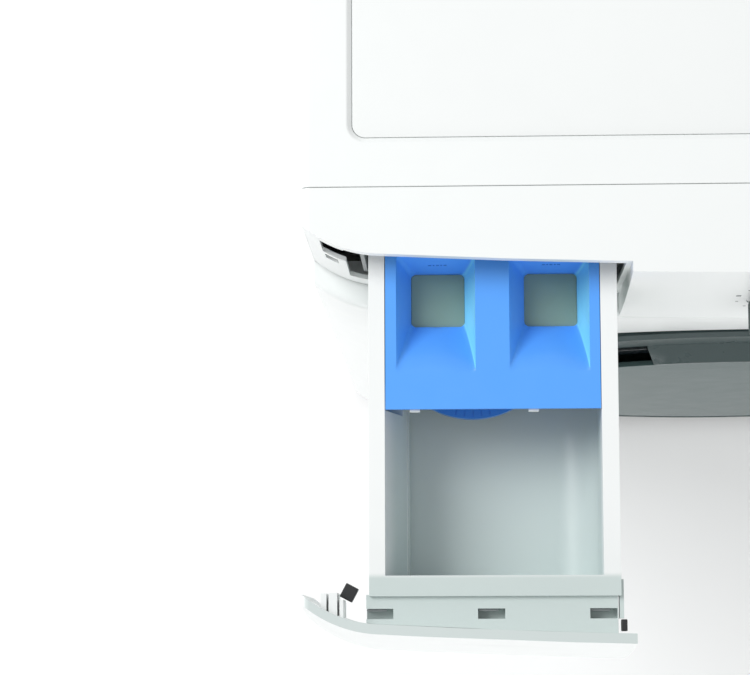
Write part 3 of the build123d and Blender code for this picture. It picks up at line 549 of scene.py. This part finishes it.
def rounded_outline(x0, x1, y0, y1, radius):
    """Points round a rectangle with round corners, evenly many on each side."""
    points = []
    corners = ((x1 - radius, y0 + radius, 270), (x1 - radius, y1 - radius, 0),
               (x0 + radius, y1 - radius, 90), (x0 + radius, y0 + radius, 180))
    for index, (cx, cy, start) in enumerate(corners):
        for step in range(CORNER_STEPS + 1):
            angle = math.radians(start + 90 * step / CORNER_STEPS)
            points.append((cx + radius * math.cos(angle), cy + radius * math.sin(angle)))
        nx, ny, after = corners[(index + 1) % 4]
        begin = points[-1]
        angle = math.radians(after)
        end = (nx + radius * math.cos(angle), ny + radius * math.sin(angle))
        for step in range(1, SIDE_STEPS):
            share = step / SIDE_STEPS
            points.append(tuple(a + (b - a) * share for a, b in zip(begin, end)))
    return points


def fall_power(x, y, box):
    """Exponent of a well wall's fall at a place on the hole's outline."""
    u = (2 * x - box[0] - box[1]) / (box[1] - box[0])
    v = (2 * y - box[2] - box[3]) / (box[3] - box[2])
    angle = math.atan2(v, u)
    total = 0.0
    weight = 0.0
    for wall, power in WELL_FALL.items():
        share = max(0.0, math.cos(angle - math.radians(wall))) ** 2
        total += share * power
        weight += share
    return total / weight


def well_rings(shape, origin, top, well):
    """Adds one well's funnel; returns its collar ring on top and its last ring."""
    rim_x0, rim_x1, hole_x0, hole_x1 = (origin.x + value * MM for value in well)
    rim_y0, rim_y1 = (origin.y + value * MM for value in WELL_RIM_Y)
    hole_y0, hole_y1 = (origin.y + value * MM for value in WELL_HOLE_Y)
    rim = rounded_outline(rim_x0, rim_x1, rim_y0, rim_y1, WELL_RIM_RADIUS * MM)
    hole = rounded_outline(hole_x0, hole_x1, hole_y0, hole_y1, WELL_HOLE_RADIUS * MM)
    box = (hole_x0, hole_x1, hole_y0, hole_y1)
    powers = [fall_power(x, y, box) for x, y in hole]
    collar = WELL_COLLAR * MM
    grown = rounded_outline(rim_x0 - collar, rim_x1 + collar, rim_y0 - collar, rim_y1 + collar,
                            (WELL_RIM_RADIUS + WELL_COLLAR) * MM)
    rings = [shape.ring([(x, y, top) for x, y in grown])]
    for step in range(WELL_STEPS + 1):
        share = step / WELL_STEPS
        ring = []
        for (x0, y0), (x1, y1), power in zip(rim, hole, powers):
            drop = WELL_DEPTH * MM * share ** power
            ring.append((x0 + (x1 - x0) * share, y0 + (y1 - y0) * share, top - drop))
        rings.append(shape.ring(ring))
    rings.append(shape.ring([(x, y, origin.z) for x, y in hole]))
    for low, high in zip(rings, rings[1:]):
        shape.bridge(low, high)
    return rings[0], rings[-1]


def fill_between(work, loops):
    """Fills the flat area between an outer loop and the loops inside it."""
    edges = []
    for loop in loops:
        for i, vert in enumerate(loop):
            other = loop[(i + 1) % len(loop)]
            edges.append(work.edges.get((vert, other)) or work.edges.new((vert, other)))
    bmesh.ops.triangle_fill(work, use_beauty=True, edges=edges)


def insert_mesh():
    """Blue insert: flat top, two funnel wells, a thin front lip and a hollow below it."""
    low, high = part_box("drawer_insert")
    lip = 15 * MM
    thick = 2.9 * MM
    shape = Shape()
    tops, ends = zip(*(well_rings(shape, low, high.z, well) for well in WELLS))
    section = [(low.y, high.z), (low.y, high.z - thick), (low.y + lip, high.z - thick),
               (low.y + lip, low.z), (high.y, low.z), (high.y, high.z)]
    left, right = (shape.ring([(x, y, z) for y, z in section]) for x in (low.x, high.x))
    for i in (0, 1, 2, 4):
        shape.faces.append((left[i], left[i + 1], right[i + 1], right[i]))
    shape.faces.append(tuple(left))
    shape.faces.append(tuple(reversed(right)))
    work = bmesh.new()
    verts = [work.verts.new(point) for point in shape.points]
    for face in shape.faces:
        work.faces.new([verts[index] for index in face])
    top_outer = [verts[i] for i in (left[0], right[0], right[5], left[5])]
    under_outer = [verts[i] for i in (left[3], right[3], right[4], left[4])]
    fill_between(work, [top_outer] + [[verts[i] for i in ring] for ring in tops])
    fill_between(work, [under_outer] + [[verts[i] for i in ring] for ring in ends])
    bmesh.ops.recalc_face_normals(work, faces=work.faces)
    mesh = bpy.data.meshes.new("drawer_insert")
    work.to_mesh(mesh)
    work.free()
    smooth_by_angle(mesh, 38)
    return mesh


# Dashes on a well's rear wall: how far down they stand, their pitch and their half lengths.
MARK_SHARE = 0.55
MARK_PITCH = 2.3
MARK_HALVES = (0.9, 0.5, 0.9, 0.5, 0.9)


def insert_marks():
    """A row of small dark dashes on the rear wall of each well."""
    low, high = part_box("drawer_insert")
    y = low.y + (WELL_RIM_Y[1] + (WELL_HOLE_Y[1] - WELL_RIM_Y[1]) * MARK_SHARE) * MM
    z = high.z - WELL_DEPTH * MM * MARK_SHARE
    shape = Shape()
    for well in WELLS:
        middle = low.x + (well[2] + well[3]) / 2 * MM
        for step, half in enumerate(MARK_HALVES, start=-2):
            x = middle + step * MARK_PITCH * MM
            foot = (x - half * MM, y - 0.4 * MM, z - 0.5 * MM)
            shape.bar(foot, (x + half * MM, y + 0.9 * MM, z + 0.5 * MM), 0.1 * MM)
    return shape.mesh("insert_marks")


# Left ends of the tabs from the insert's left edge, and clip middles from the tray's.
TAB_PLACES = (14.3, 85.2)
CLIP_PLACES = (6.2, 72.2, 138.2)


def insert_tabs():
    """Two small white tabs under the insert's front lip."""
    low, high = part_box("drawer_insert")
    shape = Shape()
    for start in TAB_PLACES:
        x = low.x + start * MM
        foot = (x, low.y - 1.3 * MM, high.z - 8 * MM)
        shape.bar(foot, (x + 6.2 * MM, low.y + 2 * MM, high.z - 3.2 * MM), 0.3 * MM)
    return shape.mesh("insert_tabs")


def well_shade_plates():
    """Grey-green plates at the foot of each well: painted shade that stands for the dim tray floor seen
    through the holes.
    """
    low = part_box("drawer_insert")[0]
    inset = 0.15 * MM
    shape = Shape()
    for well in WELLS:
        x0, x1 = (low.x + value * MM for value in well[2:])
        y0, y1 = (low.y + value * MM for value in WELL_HOLE_Y)
        outline = rounded_outline(x0 + inset, x1 - inset, y0 + inset, y1 - inset, 3 * MM)
        dished = rounded_outline(x0 + 5 * MM, x1 - 6 * MM, y0 + 2 * MM, y1 - 6 * MM, 3 * MM)
        foot = [(x, y, low.z + 0.3 * MM) for x, y in outline]
        top = [(x, y, low.z + 0.9 * MM) for x, y in outline]
        middle = [(x, y, low.z + 1.5 * MM) for x, y in dished]
        shape.loft([foot, top, middle])
    return shape.mesh("well_shade_plates", 20)


# Degrees round the disc's middle, with the front at -90.
TICK_ANGLES = (-94, -91, -88, -85)


def disc_ticks():
    """White scale on the front edge of the dosing disc."""
    low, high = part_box("dosing_disc")
    centre = (low + high) / 2
    radius = (high.x - low.x) / 2
    points, faces = [], []
    for angle in TICK_ANGLES:
        turn = math.radians(angle)
        along = Vector((math.cos(turn), math.sin(turn), 0))
        side = Vector((-along.y, along.x, 0)) * 0.36 * MM
        inner = Vector((centre.x, centre.y, 0)) + along * (radius - 5.6 * MM)
        outer = inner + along * 2.2 * MM
        a = len(points)
        for z in (high.z - 0.35 * MM, high.z - 0.02 * MM):
            for corner in (inner - side, outer - side, outer + side, inner + side):
                points.append((corner.x, corner.y, z))
        faces += [(a, a + 1, a + 2, a + 3), (a + 4, a + 7, a + 6, a + 5)]
        faces += [(a + i, a + (i + 1) % 4, a + 4 + (i + 1) % 4, a + 4 + i) for i in range(4)]
    return mesh_from("disc_ticks", points, faces)


def tray_rib_edge():
    """White rounded top of the tray's rib."""
    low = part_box("drawer_tray")[0]
    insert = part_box("drawer_insert")[0]
    x = low.x + 21.4 * MM
    shape = Shape()
    foot = (x, low.y + 35 * MM, low.z + 21.2 * MM)
    shape.bar(foot, (x + 2.2 * MM, insert.y + 10 * MM, low.z + 23.6 * MM), 0.6 * MM)
    return shape.mesh("tray_rib_edge")


def tray_clips():
    """Spring clips in the three slots of the tray's front block."""
    low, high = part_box("drawer_tray")
    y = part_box("drawer_insert")[0].y - 119.6 * MM
    half = 6 * MM
    shape = Shape()
    for place in CLIP_PLACES:
        x = low.x + place * MM
        shape.bar((x - half, y, high.z - 13.5 * MM), (x + half, y + 1.3 * MM, high.z - 5.5 * MM), 0.35 * MM)
    return shape.mesh("tray_clips")


# ------------------------------------------------------------------ controls

# Grip ridges round the knob.
RIDGES = 36


def knob_mesh():
    """Knob with fine grip ridges, a domed face and its shaft."""
    low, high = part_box("selector_knob")
    axis_z = (low.z + high.z) / 2
    radius = (high.z - low.z) / 2
    front = low.y
    back = low.y + 22.6 * MM
    shaft = 3 * MM
    core = 0.0002 * MM
    outline = [(core, front + 1.2 * MM), (radius * 0.55, front + 0.9 * MM),
               (radius * 0.8, front + 0.2 * MM), (radius - 3 * MM, front),
               (radius - 1.2 * MM, front + 0.9 * MM), (radius - 0.2 * MM, front + 3 * MM),
               (radius, front + 6 * MM), (radius, back - 2 * MM), (radius - 1 * MM, back),
               (shaft, back), (shaft, high.y), (core, high.y)]

    def wave(reach, along, angle):
        on_grip = reach > radius - 1.3 * MM and along > front + 2 * MM
        return reach - 0.7 * MM * (0.5 + 0.5 * math.cos(RIDGES * angle)) if on_grip else reach

    shape = Shape()
    shape.turn(outline, (0.0, axis_z), "Y", RIDGES * 8, wave)
    return shape.mesh("selector_knob", 34)


def knob_pointer():
    """White inlay that points at the chosen programme."""
    low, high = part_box("selector_knob")
    axis_z = (low.z + high.z) / 2
    shape = Shape()
    half = 0.9 * MM
    foot = (-half, low.y + 0.05 * MM, axis_z + 14 * MM)
    shape.bar(foot, (half, low.y + 1.6 * MM, axis_z + 25 * MM), 0.2 * MM)
    return shape.mesh("knob_pointer")


def front_finder(name):
    """Tells how far forward a CAD node's face is at a place."""
    mesh = frame["nodes"][name].data
    points = [vert.co for vert in mesh.vertices]
    tree = BVHTree.FromPolygons(points, [face.vertices for face in mesh.polygons])

    def find(x, z):
        hit = tree.ray_cast(Vector((x, -1.0, z)), Vector((0, 1, 0)))[0]
        return None if hit is None else hit.y
    return find


# The programme scale: how many dots, their distance from the knob's axis, and degrees from the top.
SCALE_DOTS = 14
SCALE_RADIUS = 36
SCALE_START = -150
SCALE_SWEEP = 300


def printed_bar(shape, find, x, z, half_x, half_z):
    """A thin printed mark on the panel's face."""
    y = find(x, z)
    if y is not None:
        shape.bar((x - half_x, y - 0.12 * MM, z - half_z), (x + half_x, y + 0.6 * MM, z + half_z), 0.1 * MM)


def panel_scale():
    """Programme dots round the knob and a line under each button."""
    low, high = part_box("selector_knob")
    axis_z = (low.z + high.z) / 2
    find = front_finder("control_panel")
    shape = Shape()
    for step in range(SCALE_DOTS):
        angle = math.radians(SCALE_START + SCALE_SWEEP * step / (SCALE_DOTS - 1))
        half = (1.5 if step % 3 == 0 else 0.9) * MM
        x = SCALE_RADIUS * MM * math.sin(angle)
        z = axis_z + SCALE_RADIUS * MM * math.cos(angle)
        printed_bar(shape, find, x, z, half, half)
    for name in ("start_button", "option_button"):
        low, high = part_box(name)
        printed_bar(shape, find, (low.x + high.x) / 2, low.z - 6 * MM, 7 * MM, 0.5 * MM)
    return shape.mesh("panel_scale")


SEGMENTS = {"0": "abcdef", "4": "bcfg", "5": "acdfg"}
# Where each segment starts, as shares of the digit's width and height, and whether it lies flat.
SEGMENT_PLACES = {"a": (0, 1, 1), "g": (0, 0.5, 1), "d": (0, 0, 1), "f": (0, 0.5, 0),
                  "b": (1, 0.5, 0), "e": (0, 0, 0), "c": (1, 0, 0)}


def digit_bars(shape, text, left, foot, y, tall):
    """Seven segment digits as thin bars."""
    wide = tall * 0.5
    pitch = wide * 1.6
    bar = tall * 0.09
    x = left
    for sign in text:
        for segment in SEGMENTS[sign]:
            across, up, flat = SEGMENT_PLACES[segment]
            x0 = x + across * wide
            z0 = foot + up * tall
            if flat:
                shape.bar((x0 + bar, y, z0 - bar / 2), (x0 + wide, y + 0.2 * MM, z0 + bar / 2), bar * 0.1)
            else:
                shape.bar((x0, y, z0 + bar), (x0 + bar, y + 0.2 * MM, z0 + tall / 2 - bar), bar * 0.1)
        x += pitch


def display_digits():
    """Lit time digits on the display block behind the window."""
    low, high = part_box("display_window")
    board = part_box("control_board")[0].y
    tall = (high.z - low.z) * 0.42
    shape = Shape()
    digit_bars(shape, "045", low.x + 22 * MM, low.z + 9 * MM, board - 0.4 * MM, tall)
    return shape.mesh("display_digits")


# ------------------------------------------------------------------ wash group

def perforated_wall(shape, radius, y0, y1, around, along, hole):
    """Cylinder wall with a round hole in the middle of each cell."""
    axis_z = (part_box("drum")[0].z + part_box("drum")[1].z) / 2
    step = (y1 - y0) / along
    arc = math.tau / around

    def point(turn, y):
        return (radius * math.cos(turn), y, axis_z + radius * math.sin(turn))

    for i in range(around):
        for j in range(along):
            middle = (i + 0.5) * arc
            centre = y0 + (j + 0.5) * step
            outer, inner = [], []
            for k in range(8):
                angle = math.radians(45 * k)
                c, s = math.cos(angle), math.sin(angle)
                reach = max(abs(c), abs(s))
                outer.append(point(middle + arc / 2 * c / reach, centre + step / 2 * s / reach))
                inner.append(point(middle + hole / radius * c, centre + hole * s))
            shape.bridge(shape.ring(outer), shape.ring(inner))


# The drum's holes round and along it and their radius, its sheet and its plain end bands, in mm.
DRUM_AROUND = 84
DRUM_ALONG = 15
DRUM_HOLE = 2.4
DRUM_SHEET = 0.9
DRUM_BAND = 16


def drum_ends():
    """Rolled mouth at the front of the drum and its pressed back."""
    low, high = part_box("drum")
    radius = (high.x - low.x) / 2
    centre = (0.0, (low.z + high.z) / 2)
    mouth = 168.4 * MM
    bore = 17.4 * MM
    band = DRUM_BAND * MM
    w = DRUM_SHEET * MM
    y = low.y
    front = [(mouth, y + w), (mouth + 3 * MM, y), (radius - 6 * MM, y), (radius, y + 6 * MM),
             (radius, y + band), (radius - w, y + band), (radius - w, y + 7 * MM),
             (radius - 7 * MM, y + w * 2), (mouth + 3 * MM, y + w * 2), (mouth, y + w * 2)]
    y = high.y
    back = [(bore, y), (90 * MM, y), (96 * MM, y - 3 * MM), (150 * MM, y - 3 * MM), (156 * MM, y),
            (radius - 6 * MM, y), (radius, y - 6 * MM), (radius, y - band), (radius - w, y - band),
            (radius - w, y - 7 * MM), (radius - 7 * MM, y - w), (156 * MM, y - w),
            (150 * MM, y - 3 * MM - w), (96 * MM, y - 3 * MM - w), (90 * MM, y - w), (bore, y - w)]
    shape = Shape()
    for outline in (front, back):
        shape.turn(outline, centre, "Y", DRUM_AROUND * 2)
    return shape.mesh("drum_ends")


def drum_mesh():
    """Perforated stainless drum with a rolled mouth and a pressed back."""
    low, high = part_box("drum")
    radius = (high.x - low.x) / 2
    band = DRUM_BAND * MM
    wall = Shape()
    perforated_wall(wall, radius, low.y + band, high.y - band, DRUM_AROUND, DRUM_ALONG, DRUM_HOLE * MM)
    work = bmesh.new()
    work.from_mesh(modified(wall.mesh("drum_wall"), "SOLIDIFY", thickness=DRUM_SHEET * MM, offset=-1))
    work.from_mesh(drum_ends())
    mesh = bpy.data.meshes.new("drum")
    work.to_mesh(mesh)
    work.free()
    smooth_by_angle(mesh, 32)
    return mesh


def bellows_mesh():
    """Folded rubber bellows with a bead at each end."""
    low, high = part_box("door_bellows")
    axis_z = (low.z + high.z) / 2
    radius = (high.x - low.x) / 2
    half_wall = 1.7 * MM
    folds = 3.5
    fold_depth = 2.6
    outer, inner = [], []
    steps = 60
    for step in range(steps + 1):
        share = step / steps
        y = low.y + share * (high.y - low.y)
        fold = math.sin(share * math.tau * folds) * fold_depth * MM * math.sin(math.pi * share)
        middle = radius - 4.5 * MM - 11 * MM * share ** 1.6 + fold
        outer.append((middle + half_wall, y))
        inner.append((middle - half_wall, y))
    shape = Shape()
    shape.turn(outer + inner[::-1], (0.0, axis_z), "Y", 144)
    return shape.mesh("door_bellows", 50)


def hose_mesh(name, folds):
    """Corrugated rubber hose between two spouts."""
    low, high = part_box(name)
    centre = (low + high) / 2
    radius = (high.x - low.x) / 2
    wall = 1.2 * MM
    outer, inner = [], []
    steps = folds * 8
    for step in range(steps + 1):
        share = step / steps
        depth = 1.0 * MM * (1 - math.cos(share * math.tau * folds)) * min(1.0, 8 * share, 8 * (1 - share))
        z = low.z + share * (high.z - low.z)
        outer.append((radius - depth, z))
        inner.append((radius - depth - wall, z))
    shape = Shape()
    shape.turn(outer + inner[::-1], (centre.x, centre.y), "Z", 48)
    return shape.mesh(name, 50)


def springs_mesh():
    """Two close wound hanging springs."""
    low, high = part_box("suspension_springs")
    wire = 1.9 * MM
    turns = 22
    reach = 11.0 * MM
    per_turn = 24
    shape = Shape()
    for x in (low.x + 13 * MM, high.x - 13 * MM):
        rings = []
        for step in range(turns * per_turn + 1):
            angle = math.tau * step / per_turn
            share = step / (turns * per_turn)
            z = low.z + wire + share * (high.z - low.z - 2 * wire)
            out = Vector((math.cos(angle), math.sin(angle), 0))
            middle = Vector((x, (low.y + high.y) / 2, z)) + out * reach
            ring = []
            for k in range(8):
                turn = math.tau * k / 8
                offset = out * wire * math.cos(turn) + Vector((0, 0, wire * math.sin(turn)))
                ring.append(tuple(middle + offset))
            rings.append(ring)
        shape.loft(rings)
    return shape.mesh("suspension_springs", 60)


def make_soft_links(materials):
    """Bellows, hoses and springs, which stretch between the cabinet and the tub."""
    made = (
        ("door_bellows", bellows_mesh(), "back"),
        ("dispenser_hose", hose_mesh("dispenser_hose", 9), "down"),
        ("sump_hose", hose_mesh("sump_hose", 9), "up"),
        ("suspension_springs", springs_mesh(), "down"),
    )
    for name, mesh, way in made:
        slot = SLOT_OF[name]
        piece = bpy.data.objects.new(name + "_finished", mesh)
        bpy.context.scene.collection.objects.link(piece)
        mesh.materials.append(materials[slot])
        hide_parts(name)
        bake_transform(piece)


def make_details(materials):
    """Pieces that are made here in full."""
    made = (
        ("drawer_insert_finished", insert_mesh(), "drawer", "insert_blue", ("drawer_insert",)),
        ("insert_marks", insert_marks(), "drawer", "disc_blue", ()),
        ("insert_tabs", insert_tabs(), "drawer", "white_plastic", ()),
        ("disc_ticks", disc_ticks(), "drawer", "white_plastic", ()),
        ("tray_rib_edge", tray_rib_edge(), "drawer", "white_plastic", ()),
        ("tray_clips", tray_clips(), "drawer", "grey_plastic", ()),
        ("selector_knob_finished", knob_mesh(), "knob", "door_grey", ("selector_knob",)),
        ("knob_pointer", knob_pointer(), "knob", "white_plastic", ()),
        ("panel_scale", panel_scale(), "cabinet", "grey_plastic", ()),
        ("drum_finished", drum_mesh(), "drum_group", "stainless", ("drum",)),
        ("display_digits", display_digits(), "cabinet", "white_plastic", ()),
        # Plates of painted shade at the foot of the wells.
        ("well_shade_plates", well_shade_plates(), "drawer", "grey_plastic", ()),
    )
    for name, mesh, body, slot, replaced in made:
        finish = materials[FINISH_OF.get(name, slot)]
        place_piece(mesh, name, body, slot, finish, *replaced)


# ------------------------------------------------------------------ build

def main():
    """Builds the studio and the whole machine."""
    make_camera()
    make_light()
    make_floor()
    materials = make_materials()
    dress_cad_nodes(materials)
    make_softened(materials)
    make_details(materials)
    make_soft_links(materials)


main()
